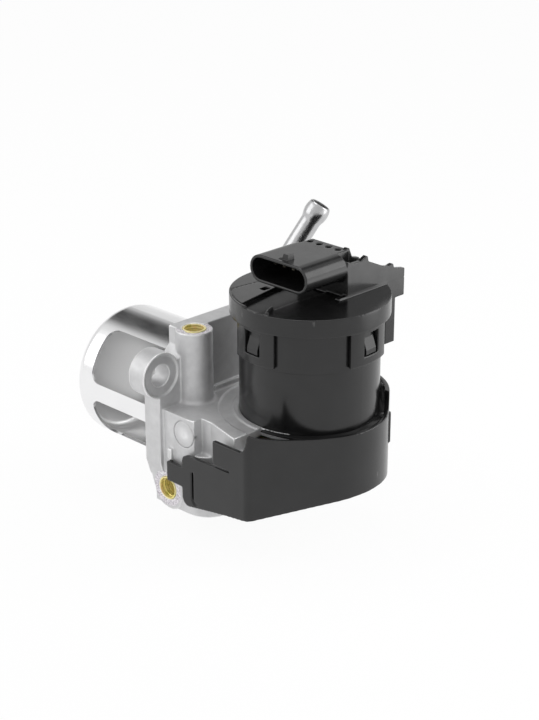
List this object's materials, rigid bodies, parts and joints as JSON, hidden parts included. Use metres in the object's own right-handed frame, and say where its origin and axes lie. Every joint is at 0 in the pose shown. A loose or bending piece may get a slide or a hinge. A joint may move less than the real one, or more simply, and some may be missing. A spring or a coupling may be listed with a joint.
{
  "type": "exhaust gas recirculation valve",
  "caption": "Electric exhaust gas recirculation valve: cast body with a windowed outlet cage, upright motor with plug connector, gear train, spiral cam slot and sprung poppet",
  "frame": {"origin": "centre of the outlet cage's round wall in the plane of the flange's mating face", "axes": "outlet cage points to -X; motor axis is parallel to +Z and the cap is at the top; the connector opens to -Y; exhaust gas enters from +Y"},
  "size_m": [0.1432, 0.0998, 0.1345],
  "materials": {
    "cast_aluminium": "fine cast, satin",
    "drawn_stainless": "polished",
    "steel": "ground",
    "plated_steel": "bright nickel plate",
    "black_plastic": "satin, glass filled",
    "yellow_zinc": "yellow passivated steel",
    "black_rubber": "matte",
    "green_rubber": "matte",
    "bronze": "sintered",
    "copper": "bare",
    "brass": "turned",
    "magnet": "sintered",
    "laminated_iron": "varnished",
    "natural_nylon": "smooth",
    "graphite": "dull",
    "circuit_board": "varnished",
    "tinned_contact": "plated",
    "gasket_steel": "coated"
  },
  "bodies": {
    "body": {"valve_body": "cast_aluminium", "outlet_cage": "drawn_stainless", "seat_ring": "steel", "stem_guide": "bronze", "stem_seal": "green_rubber", "return_spring": "steel", "output_axle": "steel", "sensor_board": "circuit_board", "intermediate_axle": "steel", "motor_can": "steel", "motor_magnets": "magnet", "brush_plate": "black_plastic", "brushes": "graphite", "front_bearing": "bronze", "rear_bearing": "bronze", "motor_housing": "black_plastic", "housing_seal": "green_rubber", "motor_screws": "plated_steel", "connector_cap": "black_plastic", "cap_seal": "black_rubber", "connector_pins": "tinned_contact", "bottom_cover": "cast_aluminium", "cover_gasket": "black_rubber", "cover_screws": "plated_steel", "gear_shroud": "black_plastic", "column_bush": "yellow_zinc", "flange_bushes": "yellow_zinc", "coolant_pipe": "plated_steel", "core_plug": "cast_aluminium", "flange_seal": "black_rubber", "inlet_gasket": "gasket_steel"},
    "stem": {"poppet_valve": "steel", "spring_cup": "steel", "stem_yoke": "steel", "roller_pin": "steel"},
    "roller": {"cam_roller": "steel"},
    "output": {"output_gear": "natural_nylon", "sensor_magnet": "magnet"},
    "intermediate": {"intermediate_gear": "natural_nylon"},
    "rotor": {"motor_pinion": "brass", "motor_shaft": "steel", "armature": "laminated_iron", "commutator": "copper"}
  },
  "joints": [
    {"name": "motor_spin", "type": "hinge", "parent": "body", "child": "rotor", "pos_m": [0.051, 0.01, 0.02], "axis": [0, 0, 1], "range_deg": [0, 1107.27]},
    {"name": "intermediate_spin", "type": "hinge", "parent": "body", "child": "intermediate", "pos_m": [0.05534, 0.02294, 0], "axis": [0, 0, 1], "range_deg": [-381.83, 0]},
    {"name": "output_turn", "type": "hinge", "parent": "body", "child": "output", "pos_m": [0.057, 0, 0], "axis": [0, 0, 1], "range_deg": [0, 120.01]},
    {"name": "stem_slide", "type": "slide", "parent": "body", "child": "stem", "axis": [-1, 0, 0], "range_m": [0, 0.006], "deforming": ["return_spring"]},
    {"name": "roller_spin", "type": "hinge", "parent": "stem", "child": "roller", "pos_m": [0.05, 0, -0.005], "axis": [0, 0, 1], "continuous": true}
  ],
  "couplings": [
    {"joint": "intermediate_spin", "follows": "motor_spin", "ratio": -0.34483},
    {"joint": "output_turn", "follows": "motor_spin", "ratio": 0.10837},
    {"joint": "stem_slide", "follows": "motor_spin", "m_per_rad": 0.00031047}
  ]
}
